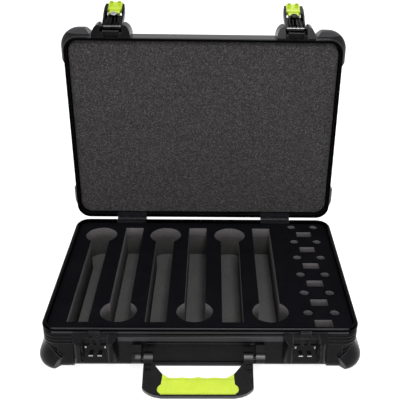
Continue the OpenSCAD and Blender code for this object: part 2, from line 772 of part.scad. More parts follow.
// The trigger: a thumb plate on its own pin, a narrow tail next to the lock and two hooks
module latchTrigger() {
    face = lever_out + lever_face;
    inner = lever_out;
    tip = lever_at(trigger_tip_s);
    tail = lever_at(opening_s + 1.5);
    shoulder = lever_at(opening_s + 10.5);
    color([0.72, 0.85, 0.1]) difference() {
        union() {
            frontProfile(trigger_w) polygon([[inner + 0.6, shoulder], [face, shoulder], [face + 0.8, trigger_z - 8],
                [face, tip + 3], [face - 2, tip], [inner + 1.5, tip], [inner, tip + 2], [inner, shoulder - 1]]);
            frontProfile(trigger_w - 5.8) polygon([[inner + 1.5, shoulder - 1], [inner + 1.5, tail + 1],
                [inner + 2.5, tail], [face - 1, tail], [face, tail - 1], [face, shoulder - 1]]);
            for (x = [-1, 1]) translate([x * 6.7, 0, 0]) frontProfile(5.6) polygon([
                [inner + 1, hook_z - 2.2], [inner + 1, hook_z + 4], [inner - 1, hook_z - 0.8],
                [hook_in + 1.5, hook_z - 0.8], [hook_in + 1.2, hook_z], [hook_in, hook_z], [hook_in + 0.6, hook_z - 2.2]]);
            translate([0, front_y - trigger_n, trigger_z]) barX(3, trigger_w);
        }
        translate([0, front_y - trigger_n, trigger_z]) barX(trigger_pin_d / 2 + fit, inf);
        translate([0, front_y, trigger_z - 4.5]) rotate([90, 0, 0]) cylinder(d = 2.6, h = inf);
        for (i = [0:4]) translate([0, front_y - face - 0.9, tip + 5 + i * 3]) barX(0.7, trigger_w - 6);
        for (x = [-2:2]) translate([x * 3.8, 0, 0]) frontBlock(0.9, inner - 1, inner + 0.5, tip + 5, trigger_z - 7.5);
    }
}

module triggerPin() {
    color([0.75, 0.75, 0.77]) translate([0, front_y - trigger_n, trigger_z])
        barX(trigger_pin_d / 2 - 0.02, lever_w - 3);
}

// The lock stands a little proud of the lever on both sides and has a key slot and an end slot
module lockCylinder() {
    inner_y = front_y - lever_out + lever_in + lock_proud;
    color([0.78, 0.78, 0.8]) difference() {
        translate([0, inner_y, lever_at(lock_s)]) rotate([90, 0, 0]) {
            cylinder(d1 = lock_d - 0.8, d2 = lock_d, h = 0.4);
            translate([0, 0, 0.4]) cylinder(d = lock_d, h = lever_in + lever_face + lock_proud);
        }
        translate([0, front_y - lever_out - lever_face, lever_at(lock_s)]) cube([1.4, 6, 6.5], center = true);
        translate([0, inner_y, lever_at(lock_s)]) cube([6.5, 1.6, 1.3], center = true);
    }
}

module lockBlank() {
    color([0.05, 0.05, 0.06]) translate([0, front_y - lever_out + lever_in + lock_proud, lever_at(lock_s)])
        rotate([90, 0, 0]) {
            cylinder(d1 = lock_d - 1, d2 = lock_d + 1.6, h = lock_proud - 0.1);
            cylinder(d = lock_d, h = lever_in + lever_face + lock_proud + 0.4);
        }
}

// ---------- handle ----------

arm_w = 13.5;
bracket_in = handle_w / 2 + 4.6;
bracket_w = 13.5;
bracket_mid = bracket_in + bracket_w / 2;
hub_r = 9;
frame_half_t = 4.5;
grip_half_t = 8;
grip_end = 59.6;
core_u = 52;
finger_u = 35;
horn_x = 50;

// Turns a handle that points straight down to where it rests
module handlePose() {
    translate([handle_x, handle_y, handle_z]) rotate([handle_angle - 90, 0, 0]) children();
}

module handleBracket() {
    color([0.06, 0.06, 0.07]) difference() {
        union() {
            frontProfile(bracket_w) {
                polygon([[base_wall, handle_z - 15], [2, handle_z - 15], [handle_out, handle_z - hub_r],
                    [handle_out, handle_z + hub_r], [2, handle_z + 15], [base_wall, handle_z + 15]]);
                translate([handle_out, handle_z]) circle(hub_r);
            }
            for (z = [-9, 9]) translate([0, front_y - base_wall, handle_z + z]) rotate([-90, 0, 0])
                cylinder(d = 3.96, h = shell_t + 0.4);
        }
        translate([0, handle_y, handle_z]) barX(handle_pin_d / 2, inf);
    }
}

module handlePin() {
    len = bracket_w - 2 + 4.6 + arm_w - 2;
    color([0.5, 0.5, 0.52]) translate([-1, handle_y, handle_z])
        translate([-(arm_w - 2 + 4.6) / 2 + 1, 0, 0]) barX(handle_pin_d / 2 - 0.02, len);
}

// Half outline of the frame: x from the middle, u down from the pins
function frame_outline() = let (h = handle_w / 2, l = handle_len) [
    [h, 0], [h, l - 12.5], [h - 4, l - 8.6], [h - 10, l - 4.8], [h - 17, l - 2], [h - 28, l], [0, l],
    [0, core_u], [horn_x - 4, core_u], [horn_x - 1, core_u - 8], [horn_x, finger_u - 1],
    [horn_x + 1.6, finger_u - 5], [horn_x + 10, finger_u - 15], [h - arm_w, 10], [h - arm_w, 0]];

// Half outline of the grip: waves for the fingers, horns up the arms, knobbed ends
function grip_outline() = let (l = handle_len - 2.5) concat(
    [for (x = [0:2:horn_x - 8]) [x, finger_u - 0.5 * cos(x * 15) - (x < 7 ? 0.7 * cos(x * 13) : 0)]],
    [[horn_x - 4, finger_u - 1.6], [horn_x, finger_u - 4.6], [horn_x + 1.6, finger_u - 5.6],
        [horn_x + 2.6, finger_u - 5], [horn_x + 3, finger_u + 3], [horn_x + 4, core_u - 6],
        [grip_end - 1, core_u - 2.2], [grip_end, core_u + 1], [grip_end - 1, core_u + 4.6], [horn_x + 4, l], [0, l]]);

module handleFrame() {
    h = handle_w / 2;
    color([0.06, 0.06, 0.07]) handlePose() difference() {
        union() {
            for (x = [0, 1]) mirror([x, 0, 0]) {
                translate([0, frame_half_t, 0]) rotate([90, 0, 0]) linear_extrude(2 * frame_half_t)
                    mirror([0, 1]) polygon(frame_outline());
                translate([h - arm_w / 2, 0, 0]) barX(hub_r, arm_w);
            }
        }
        for (x = [0, 1]) mirror([x, 0, 0]) {
            translate([h - arm_w + 1, 0, 0]) barX(handle_pin_d / 2 + fit, 2 * arm_w);
            for (u = [12, 20], side = [-1, 1]) translate([h - arm_w + 2.2, side * frame_half_t - 3, -u - 6.5])
                cube([arm_w - 4.4, 6, 6.5]);
        }
    }
}

// Section of the grip: round towards the fingers, a rounded block where it wraps the frame
module gripSection() {
    t = grip_half_t;
    l = handle_len - 2.5;
    polygon(concat(
        [for (a = [90:15:270]) [1.5 - t - finger_u - (t - 0.5) * cos(a), t * sin(a)]],
        [for (a = [-90:15:0]) [-l + 3.5 - 3.5 * cos(a), -t + 3.5 + 3.5 * sin(a)]],
        [for (a = [0:15:90]) [-l + 3.5 - 3.5 * cos(a), t - 3.5 + 3.5 * sin(a)]]
    ));
}

module handleGrip() {
    t = grip_half_t;
    corner = [[grip_end - 7.6, t], [grip_end - 2.6, t - 0.8], [grip_end, t - 2.6]];
    color([0.75, 0.88, 0.12]) handlePose() difference() {
        intersection() {
            for (x = [0, 1]) mirror([x, 0, 0])
                translate([0, t + 1, 0]) rotate([90, 0, 0]) linear_extrude(2 * t + 2)
                    mirror([0, 1]) polygon(grip_outline());
            union() {
                translate([-handle_w / 2, 0, 0]) rotate([90, 0, 90]) linear_extrude(handle_w)
                    rotate(90) gripSection();
                translate([-handle_w / 2, -frame_half_t - 1.4, 5 - core_u])
                    cube([handle_w, 2 * frame_half_t + 2.8, core_u - finger_u + 3]);
            }
            // Seen from above, rounded off towards the ends
            translate([0, 0, -inf]) linear_extrude(inf) polygon(concat(corner,
                [for (i = [2:-1:0]) [corner[i][0], -corner[i][1]]],
                [for (p = corner) -p],
                [for (i = [2:-1:0]) [-corner[i][0], corner[i][1]]]));
        }
        for (x = [0, 1]) mirror([x, 0, 0])
            translate([0, frame_half_t, 0]) rotate([90, 0, 0]) linear_extrude(2 * frame_half_t)
                mirror([0, 1]) polygon(frame_outline());
    }
}

// ---------- nodes ----------

baseShell();  // base_shell
baseRim();  // base_rim
foamBaseSheet();  // foam_base_sheet
foamLower();  // foam_lower
foamUpper();  // foam_upper
foamFacing();  // foam_facing
translate([-latch_x, 0, 0]) keeper();  // keeper_left
translate([latch_x, 0, 0]) keeper();  // keeper_right
translate([-latch_x, 0, 0]) strike();  // strike_left
translate([latch_x, 0, 0]) strike();  // strike_right
strikeRivets();  // strike_rivets
translate([handle_x - bracket_mid, 0, 0]) handleBracket();  // handle_bracket_left
translate([handle_x + bracket_mid, 0, 0]) handleBracket();  // handle_bracket_right
translate([handle_x - bracket_mid, 0, 0]) mirror([1, 0, 0]) handlePin();  // handle_pin_left
translate([handle_x + bracket_mid, 0, 0]) handlePin();  // handle_pin_right
handleFrame();  // handle_frame
handleGrip();  // handle_grip
translate([-hinge_x, 0, 0]) hingeBaseLeaf();  // hinge_base_leaf_left
translate([hinge_x, 0, 0]) hingeBaseLeaf();  // hinge_base_leaf_right
hingeBaseRivets();  // hinge_base_rivets
lidPose() translate([-hinge_x, 0, 0]) hingeLidLeaf();  // hinge_lid_leaf_left
lidPose() translate([hinge_x, 0, 0]) hingeLidLeaf();  // hinge_lid_leaf_right
lidPose() hingeLidRivets();  // hinge_lid_rivets
translate([-hinge_x, 0, 0]) hingePin();  // hinge_pin_left
translate([hinge_x, 0, 0]) hingePin();  // hinge_pin_right
lidPose() lidShell();  // lid_shell
lidPose() lidRim();  // lid_rim
lidPose() lidFoam();  // lid_foam
lidPose() translate([-latch_x, 0, 0]) latchMount();  // latch_mount_left
lidPose() translate([latch_x, 0, 0]) latchMount();  // latch_mount_right
lidPose() translate([-latch_x, 0, 0]) latchPin();  // latch_pin_left
lidPose() translate([latch_x, 0, 0]) latchPin();  // latch_pin_right
lidPose() leverPose() translate([-latch_x, 0, 0]) latchLever();  // latch_lever_left
lidPose() leverPose() translate([latch_x, 0, 0]) latchLever();  // latch_lever_right
lidPose() leverPose() translate([-latch_x, 0, 0]) triggerPin();  // trigger_pin_left
lidPose() leverPose() translate([latch_x, 0, 0]) triggerPin();  // trigger_pin_right
lidPose() leverPose() translate([-latch_x, 0, 0]) latchTrigger();  // latch_trigger_left
lidPose() leverPose() translate([latch_x, 0, 0]) latchTrigger();  // latch_trigger_right
lidPose() leverPose() translate([-latch_x, 0, 0]) lockCylinder();  // lock_cylinder
lidPose() leverPose() translate([latch_x, 0, 0]) lockBlank();  // lock_blank
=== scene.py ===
import json
import math

import bmesh
import bpy
from mathutils import Matrix, Vector, noise


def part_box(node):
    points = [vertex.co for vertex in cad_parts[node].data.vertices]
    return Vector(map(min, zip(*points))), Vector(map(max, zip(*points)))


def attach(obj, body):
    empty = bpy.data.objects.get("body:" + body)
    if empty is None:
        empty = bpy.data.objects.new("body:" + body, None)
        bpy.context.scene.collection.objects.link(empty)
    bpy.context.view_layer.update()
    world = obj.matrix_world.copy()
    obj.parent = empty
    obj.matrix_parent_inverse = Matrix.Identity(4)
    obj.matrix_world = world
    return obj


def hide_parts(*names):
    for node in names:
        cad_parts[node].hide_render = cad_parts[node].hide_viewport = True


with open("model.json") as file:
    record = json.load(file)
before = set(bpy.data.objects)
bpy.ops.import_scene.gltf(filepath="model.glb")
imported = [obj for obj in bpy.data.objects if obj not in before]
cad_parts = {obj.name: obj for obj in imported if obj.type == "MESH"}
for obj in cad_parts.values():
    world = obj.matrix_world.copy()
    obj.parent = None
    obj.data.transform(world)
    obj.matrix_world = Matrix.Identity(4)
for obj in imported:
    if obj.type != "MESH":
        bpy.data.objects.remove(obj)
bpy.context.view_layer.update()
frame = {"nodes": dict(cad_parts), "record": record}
nodes = frame["nodes"]
mm = 0.001
print("frame loaded")


# A node's socket that adds, subtracts and multiplies like a number
class Wire:
    def __init__(self, kit, socket):
        self.kit = kit
        self.socket = socket

    def __add__(self, other):
        return self.kit.maths("ADD", self, other)

    def __radd__(self, other):
        return self.kit.maths("ADD", other, self)

    def __sub__(self, other):
        return self.kit.maths("SUBTRACT", self, other)

    def __rsub__(self, other):
        return self.kit.maths("SUBTRACT", other, self)

    def __mul__(self, other):
        return self.kit.maths("MULTIPLY", self, other)

    def __rmul__(self, other):
        return self.kit.maths("MULTIPLY", other, self)

    def atLeast(self, other):
        return self.kit.maths("MAXIMUM", self, other)

    # Climbs smoothly from start to end while the value goes from low to high
    def between(self, low, high, start=0.0, end=1.0):
        return self.kit.node("ShaderNodeMapRange", {"interpolation_type": "SMOOTHSTEP"},
                             {0: self, 1: low, 2: high, 3: start, 4: end})


class NodeKit:
    def __init__(self, tree):
        self.tree = tree

    def put(self, socket, value):
        if isinstance(value, Wire):
            self.tree.links.new(value.socket, socket)
        elif socket.type == "RGBA" and len(value) == 3:
            socket.default_value = (*value, 1.0)
        else:
            socket.default_value = value

    # Adds any node: its type, its settings, then its socket values or links
    def node(self, kind, settings, values, output=0):
        made = self.tree.nodes.new(kind)
        for key, value in settings.items():
            setattr(made, key, value)
        for key, value in values.items():
            self.put(made.inputs[key], value)
        return Wire(self, made.outputs[output]) if made.outputs else None

    def maths(self, operation, *values):
        return self.node("ShaderNodeMath", {"operation": operation}, dict(enumerate(values)))

    # X, Y and Z of a vector
    def split(self, vector):
        return [self.node("ShaderNodeSeparateXYZ", {}, {"Vector": vector}, axis) for axis in "XYZ"]


# Noise from 0 to 1 is blended over the middle of its range
blend = (0.3, 0.7)
bevelSamples = 6
# How far a normal turns at an edge before it counts as an edge, for wear and for painted highlights
edgeTurn = (0.01, 0.16)


class Shader(NodeKit):
    names = {"color": "Base Color", "roughness": "Roughness", "metallic": "Metallic",
             "normal": "Normal", "specular": "Specular IOR Level", "coat": "Coat Weight",
             "coatRoughness": "Coat Roughness", "sheen": "Sheen Weight"}

    def __init__(self, name):
        self.material = bpy.data.materials.new(name)
        self.material.use_nodes = True
        super().__init__(self.material.node_tree)
        self.tree.nodes.clear()
        self.surface = self.tree.nodes.new("ShaderNodeBsdfPrincipled")
        self.node("ShaderNodeOutputMaterial", {}, {"Surface": Wire(self, self.surface.outputs[0])})

    def finish(self, **values):
        for key, value in values.items():
            self.put(self.surface.inputs[self.names[key]], value)
        return self.material

    # Object coordinates in millimetres, stretched as asked
    def place(self, stretch=(1, 1, 1)):
        spot = self.node("ShaderNodeTexCoord", {}, {}, "Object")
        return self.node("ShaderNodeVectorMath", {"operation": "MULTIPLY"},
                         {0: spot, 1: [v / mm for v in stretch]})

    # Noise whose grains are about size millimetres wide
    def noise(self, size, detail=3.0, rough=0.6, stretch=(1, 1, 1)):
        return self.node("ShaderNodeTexNoise", {"noise_dimensions": "3D"},
                         {"Vector": self.place(stretch), "Scale": 1.0 / size,
                          "Detail": detail, "Roughness": rough})

    def cells(self, size, output="Distance"):
        return self.node("ShaderNodeTexVoronoi", {"feature": "F1"},
                         {"Vector": self.place(), "Scale": 1.0 / size}, output)

    def mix(self, amount, a, b):
        return self.node("ShaderNodeMix", {"data_type": "RGBA"}, {0: amount, 6: a, 7: b}, 2)

    # A normal that rounds hard edges over a radius in millimetres
    def rounded(self, radius):
        return self.node("ShaderNodeBevel", {"samples": bevelSamples}, {"Radius": radius * mm})

    # How close a spot is to a hard edge, 0 away from it
    def edge(self, radius):
        true = self.node("ShaderNodeNewGeometry", {}, {}, "Normal")
        turn = self.node("ShaderNodeVectorMath", {"operation": "DOT_PRODUCT"},
                         {0: self.rounded(radius), 1: true}, "Value")
        return (1.0 - turn).between(*edgeTurn)

    # 1 inside any of the boxes, each given by two corners in millimetres. X counts from the
    # middle to either side, and a box that starts at -1 covers the middle without a soft edge
    def inside(self, boxes, margin):
        x, y, z = self.split(self.place())
        aside = self.maths("ABSOLUTE", x)
        total = 0.0
        for low, high in boxes:
            part = 1.0
            for value, start, end in zip((aside, y, z), low, high):
                part = part * value.between(start - margin, start + margin)
                part = part * value.between(end - margin, end + margin, 1.0, 0.0)
            total = part + total
        return total

    # Bands with a shinier coat, painted paler as a painted highlight
    def highlightBanded(self, tone, look):
        if "highlightBands" not in look:
            return tone
        mask = self.inside(look["highlightBands"], look["bandSoft"])
        self.finish(coat=mask * look["bandCoat"], coatRoughness=look["bandRoughness"])
        return self.mix(mask, tone, look["highlightTone"])

    def bump(self, height, depth, under):
        return self.node("ShaderNodeBump", {},
                         {"Height": height, "Distance": depth * mm, "Strength": 1.0,
                          "Normal": under})


# Where the photo was taken from: metres, degrees, millimetres of lens
cameraLook = {"place": (0.01488, -1.00858, 0.71986), "yaw": -1.43, "pitch": 28.06, "roll": 1.06,
              "lens": 62.865, "sensor": 36.0, "shift": (-0.067, 0.0278), "clip": (0.05, 30.0)}


def aimCamera(look):
    yaw, pitch, roll = (math.radians(look[k]) for k in ("yaw", "pitch", "roll"))
    ahead = Vector((-math.sin(yaw) * math.cos(pitch), math.cos(yaw) * math.cos(pitch),
                    -math.sin(pitch)))
    right = ahead.cross(Vector((0, 0, 1))).normalized()
    up = right.cross(ahead)
    side = right * math.cos(roll) + up * math.sin(roll)
    top = up * math.cos(roll) - right * math.sin(roll)
    data = bpy.data.cameras.new("camera")
    data.sensor_width = look["sensor"]
    data.lens = look["lens"]
    data.shift_x, data.shift_y = look["shift"]
    data.clip_start, data.clip_end = look["clip"]
    camera = bpy.data.objects.new("camera", data)
    turn = Matrix((side, top, -ahead)).transposed().to_4x4()
    camera.matrix_world = Matrix.Translation(look["place"]) @ turn
    bpy.context.collection.objects.link(camera)
    bpy.context.scene.camera = camera


aimCamera(cameraLook)
bpy.context.scene.view_settings.view_transform = "Standard"

# A plain white studio. The lamps' places and sizes are in metres, their power in watts
stageLook = {"world": 0.5, "background": 1.0, "floorColor": (0.64, 0.64, 0.64), "floorLift": 0.84,
             "floorRoughness": 0.9, "floorSpecular": 0.1, "floorSize": 24.0,
             "floorHeight": -0.0004}
lampLooks = {
    "key": {"place": (0.3, -1.1, 1.75), "target": (0, 0.05, 0.15), "size": (0.4, 0.4),
            "power": 13.3},
    "fill": {"place": (-1.3, -0.8, 1.1), "target": (0, 0.05, 0.15), "size": (0.35, 0.35),
             "power": 1.6},
    "back": {"place": (0.2, 1.3, 1.8), "target": (0, 0.1, 0.2), "size": (1.0, 0.25),
             "power": 7.0},
    "strip": {"place": (0.0, -1.5, 0.55), "target": (0, -0.1, 0.05), "size": (1.6, 0.12),
              "power": 3.0}}


def areaLamp(name, look):
    data = bpy.data.lights.new(name, "AREA")
    data.shape = "RECTANGLE"
    data.size, data.size_y = look["size"]
    data.energy = look["power"]
    lamp = bpy.data.objects.new(name, data)
    turn = (Vector(look["target"]) - Vector(look["place"])).to_track_quat("-Z", "Y")
    lamp.matrix_world = Matrix.Translation(look["place"]) @ turn.to_matrix().to_4x4()
    bpy.context.collection.objects.link(lamp)


# 1 for the rays that look at the background itself or at its reflection
def seesBackground(kit):
    direct, mirrored, through = (kit.node("ShaderNodeLightPath", {}, {}, name)
                                 for name in ("Is Camera Ray", "Is Glossy Ray",
                                              "Is Transmission Ray"))
    return direct.atLeast(mirrored).atLeast(through)


def makeWorld(look):
    world = bpy.data.worlds.new("studio")
    world.use_nodes = True
    kit = NodeKit(world.node_tree)
    kit.tree.nodes.clear()
    plain, seen = (kit.node("ShaderNodeBackground", {}, {"Color": (1, 1, 1), "Strength": power})
                   for power in (look["world"], look["background"]))
    mixed = kit.node("ShaderNodeMixShader", {}, {0: seesBackground(kit), 1: plain, 2: seen})
    kit.node("ShaderNodeOutputWorld", {}, {"Surface": mixed})
    bpy.context.scene.world = world


# Glows for the camera and keeps the case's shadow
def makeFloor(look):
    kit = Shader("floor")
    kit.finish(color=look["floorColor"], roughness=look["floorRoughness"],
               specular=look["floorSpecular"])
    kit.put(kit.surface.inputs["Emission Color"], (1, 1, 1))
    kit.put(kit.surface.inputs["Emission Strength"], seesBackground(kit) * look["floorLift"])
    bpy.ops.mesh.primitive_plane_add(size=look["floorSize"], location=(0, 0, look["floorHeight"]))
    floor = bpy.context.object
    floor.name = "floor"
    floor.data.materials.append(kit.material)


makeWorld(stageLook)
makeFloor(stageLook)
for name, look in lampLooks.items():
    areaLamp(name, look)
print("camera, lamps and floor set")


# Moulded plastic: fine grain, cloudy sheen, edges painted paler, partly as wear and partly as a
# painted highlight, and a few scuffs
def plastic(name, look):
    kit = Shader(name)
    cloud = kit.noise(look["cloud"], detail=4.0)
    grain = kit.noise(look["grain"], detail=2.0, rough=0.5)
    scuff = kit.noise(look["scuffSize"], detail=5.0, rough=0.7, stretch=look["scuffStretch"])
    scuff = scuff.between(*look["scuffRange"])
    wornAndGlint = kit.noise(look["wearAndGlintSize"], detail=4.0, rough=0.65).between(*look["wearAndGlintRange"])
    wornAndGlint = kit.edge(look["edge"]) * wornAndGlint
    tone = kit.mix(cloud.between(*blend), look["dark"], look["light"])
    tone = kit.mix(scuff * look["scuff"], tone, look["wornAndGlint"])
    # Pale edges: partly real wear, partly a painted highlight along the edges
    tone = kit.mix(wornAndGlint * look["wearAndGlintShare"], tone, look["wornAndGlint"])
    # Painted highlights along the edges inside the given boxes: the bumpers' edges
    if "edgeHighlightBoxes" in look:
        rubAndHighlight = kit.edge(look["edge"]) * kit.inside(look["edgeHighlightBoxes"], look["edgeHighlightSoft"])
        tone = kit.mix(rubAndHighlight * look["rubAndHighlight"], tone, look["edgeHighlightTone"])
    shine = (look["roughness"] + (cloud - 0.5) * look["cloudShine"] + scuff * look["scuffShine"]
             + (grain - 0.5) * look["grainShine"])
    relief = kit.bump(grain, look["depth"], kit.rounded(look["round"]))
    return kit.finish(color=kit.highlightBanded(tone, look), roughness=shine, specular=look["specular"],
                      normal=relief)


plasticBase = {"scuffSize": 9.0, "scuffStretch": (1, 1, 0.35), "scuffRange": (0.62, 0.74),
               "wearAndGlintSize": 14.0, "wearAndGlintRange": (0.35, 0.7),
               "cloudShine": 0.12, "scuffShine": 0.12, "grainShine": 0.1}
# Painted highlights on the shells: the glossy band across the base's front, the edge above the
# handle's recess and the tops of the lid's bumpers are painted paler, and the foot is painted paler
# as a painted reflection. The bumpers' edges get painted highlights
shellLook = {**plasticBase, "dark": (0.0036, 0.0036, 0.0045), "light": (0.0068, 0.0068, 0.0080),
             "wornAndGlint": (0.045, 0.045, 0.050), "cloud": 30.0, "grain": 0.7, "depth": 0.06,
             "roughness": 0.28, "specular": 0.11, "edge": 1.6, "round": 0.9, "wearAndGlintShare": 0.35,
             "scuff": 0.10,
             "highlightTone": (0.036, 0.036, 0.041), "bandCoat": 0.35, "bandRoughness": 0.35,
             "bandSoft": 0.15,
             "highlightBands": (((-1, -173.0, 50.6), (124.5, -171.4, 58.4)),
                       ((-1, -174.5, 43.2), (82.0, -166.0, 45.2)),
                       ((-1, -176.0, -1.0), (200.0, -160.0, 6.0)),
                       ((166.0, 60.0, 420.0), (260.0, 260.0, 440.0))),
             # Painted highlights along the bumpers' edges
             "rubAndHighlight": 0.4, "edgeHighlightTone": (0.20, 0.20, 0.21), "edgeHighlightSoft": 2.0,
             "edgeHighlightBoxes": (((175, -260, 2), (260, -150, 46)), ((175, 60, 408), (260, 260, 440)))}
# The keepers' edges are painted strongly paler, as a painted highlight along them
keeperLook = {**plasticBase, "dark": (0.0036, 0.0036, 0.0045), "light": (0.0068, 0.0068, 0.0080),
              "wornAndGlint": (0.12, 0.12, 0.13), "cloud": 14.0, "grain": 0.5, "depth": 0.04,
              "roughness": 0.28, "specular": 0.11, "edge": 1.4, "round": 0.6, "wearAndGlintShare": 0.9,
              "scuff": 0.08}
hardwareLook = {**plasticBase, "dark": (0.0034, 0.0034, 0.0042), "light": (0.0062, 0.0062, 0.0072),
                "wornAndGlint": (0.06, 0.06, 0.065), "cloud": 12.0, "grain": 0.5, "depth": 0.03,
                "roughness": 0.25, "specular": 0.16, "edge": 0.9, "round": 0.5, "wearAndGlintShare": 0.5,
                "scuff": 0.08}
# The handle's knuckles get a painted highlight along their fronts, with a shinier coat
handleLook = {**hardwareLook, "highlightTone": (0.12, 0.12, 0.125), "bandCoat": 0.6,
              "bandRoughness": 0.35, "bandSoft": 2.0,
              "highlightBands": (((60.0, -193.0, 34.0), (97.0, -188.0, 38.5)),)}
mountLook = {**hardwareLook, "dark": (0.0022, 0.0022, 0.0030), "light": (0.0044, 0.0044, 0.0054),
             "specular": 0.09}
latchLook = {**hardwareLook, "dark": (0.0012, 0.0012, 0.0018), "light": (0.0026, 0.0026, 0.0034),
             "specular": 0.05}
triggerLook = {**plasticBase, "dark": (0.56, 0.76, 0.020), "light": (0.64, 0.83, 0.035),
               "wornAndGlint": (0.78, 0.88, 0.30), "cloud": 10.0, "grain": 0.6, "depth": 0.03,
               "roughness": 0.34, "specular": 0.3, "edge": 0.8, "round": 0.5, "wearAndGlintShare": 0.5,
               "scuff": 0.05}


# Rubber: soft, a little dusty, paler on its edges, with shallow pores
def rubber(name, look):
    kit = Shader(name)
    cloud = kit.noise(look["cloud"], detail=4.0)
    grain = kit.noise(look["grain"], detail=2.0)
    dust = kit.noise(look["dustSize"], detail=5.0, rough=0.7).between(*look["dustRange"])
    tone = kit.mix(cloud.between(*blend), look["dark"], look["light"])
    pale = dust * look["dust"] + kit.edge(look["edge"]) * look["wearAndGlintShare"]
    tone = kit.mix(pale, tone, look["pale"])
    relief = kit.bump(grain + kit.cells(look["pore"]) * look["poreDepth"], look["depth"],
                      kit.rounded(look["round"]))
    return kit.finish(color=tone, roughness=dust * look["dustShine"] + look["roughness"],
                      specular=look["specular"], sheen=look["sheen"], normal=relief)


gripLook = {"dark": (0.62, 0.80, 0.05), "light": (0.70, 0.88, 0.065), "pale": (0.84, 0.93, 0.32),
            "cloud": 18.0, "grain": 0.6, "pore": 1.1, "poreDepth": 0.5, "depth": 0.06,
            "round": 0.8, "dustSize": 6.0, "dustRange": (0.5, 0.8), "dust": 0.25, "dustShine": 0.12,
            "edge": 2.0, "wearAndGlintShare": 0.45, "roughness": 0.46, "specular": 0.25, "sheen": 0.05}


# Metal: brushed along one way, edges polished by handling and painted paler, partly as wear and
# partly as a painted highlight
def metal(name, look):
    kit = Shader(name)
    lines = kit.noise(look["line"], stretch=look["stretch"])
    cloud = kit.noise(look["cloud"], detail=4.0)
    wornAndGlint = kit.edge(look["edge"]) * kit.noise(look["wearAndGlintSize"], detail=4.0).between(*blend)
    tone = kit.mix(cloud.between(*blend), look["dark"], look["light"])
    # Pale edges: partly real wear, partly a painted highlight along the edges
    tone = kit.mix(wornAndGlint * look["wearAndGlintShare"], tone, look["wornAndGlint"])
    shine = look["roughness"] + (lines - 0.5) * look["lineShine"] - wornAndGlint * look["wearShine"]
    relief = kit.bump(lines, look["depth"], kit.rounded(look["round"]))
    return kit.finish(color=kit.highlightBanded(tone, look), roughness=shine, metallic=look["metallic"],
                      specular=look["specular"], normal=relief)


metalBase = {"cloud": 11.0, "edge": 0.6, "wearAndGlintSize": 7.0, "lineShine": 0.16, "wearShine": 0.08}
# The rims' pale edges are partly painted highlight: thin painted lines along them
rimLook = {**metalBase, "dark": (0.0006, 0.0006, 0.0010), "light": (0.0014, 0.0014, 0.0020),
           "wornAndGlint": (0.06, 0.06, 0.065), "line": 0.5, "stretch": (0.05, 0.05, 1), "depth": 0.015,
           "roughness": 0.22, "metallic": 0.0, "specular": 0.018, "round": 0.35, "wearAndGlintShare": 0.2}
# Painted highlights: the base rim's tongue and a stripe of its flange are painted paler along the
# front, with a shinier coat
baseRimLook = {**rimLook, "highlightTone": (0.034, 0.034, 0.038), "bandCoat": 0.35,
               "bandRoughness": 0.35, "bandSoft": 0.15,
               "highlightBands": (((-1, -173, 65.4), (224, -171, 68.9)),
                         ((-1, -170.6, 71.2), (224, -168.4, 74.5)))}
steelLook = {**metalBase, "dark": (0.60, 0.60, 0.61), "light": (0.72, 0.72, 0.73),
             "wornAndGlint": (0.85, 0.85, 0.86), "line": 0.3, "stretch": (0.06, 1, 1), "depth": 0.012,
             "roughness": 0.24, "metallic": 1.0, "specular": 0.5, "round": 0.25, "wearAndGlintShare": 0.6}
pinLook = {**steelLook, "dark": (0.12, 0.12, 0.125), "light": (0.18, 0.18, 0.185),
           "roughness": 0.22}
studLook = {**steelLook, "dark": (0.26, 0.26, 0.265), "light": (0.36, 0.36, 0.365),
            "roughness": 0.30}
lockLook = {**steelLook, "dark": (0.28, 0.28, 0.29), "light": (0.44, 0.44, 0.45),
            "stretch": (1, 1, 1), "roughness": 0.18}
hingeLook = {**metalBase, "dark": (0.010, 0.010, 0.012), "light": (0.016, 0.016, 0.018),
             "wornAndGlint": (0.12, 0.12, 0.125), "line": 0.8, "stretch": (0.2, 1, 1), "depth": 0.02,
             "roughness": 0.36, "metallic": 0.0, "specular": 0.2, "round": 0.4, "wearAndGlintShare": 0.4}


# The strike plate: black coat, rubbed bare on the lips where the hooks pull
def strikeMetal(name, look):
    kit = Shader(name)
    chips = kit.edge(look["edge"]) * look["wearAndGlintShare"] * kit.noise(look["chip"])
    bare = kit.inside(look["lips"], look["lipSoft"]) + chips
    lines = kit.noise(look["line"], stretch=look["stretch"])
    relief = kit.bump(lines, look["depth"], kit.rounded(look["round"]))
    return kit.finish(color=kit.mix(bare, look["coat"], look["steel"]),
                      roughness=lines * look["lineShine"] + look["roughness"], metallic=bare,
                      specular=look["specular"], normal=relief)


strikeLook = {"coat": (0.004, 0.004, 0.005), "steel": (0.60, 0.60, 0.61),
              "lips": (((-1, -190, 31.4), (250, -180.4, 34)),), "lipSoft": 0.4,
              "edge": 0.5, "wearAndGlintShare": 0.1, "chip": 1.6, "line": 0.3, "stretch": (0.06, 1, 1),
              "depth": 0.012, "round": 0.25, "roughness": 0.2, "lineShine": 0.14,
              "specular": 0.1}


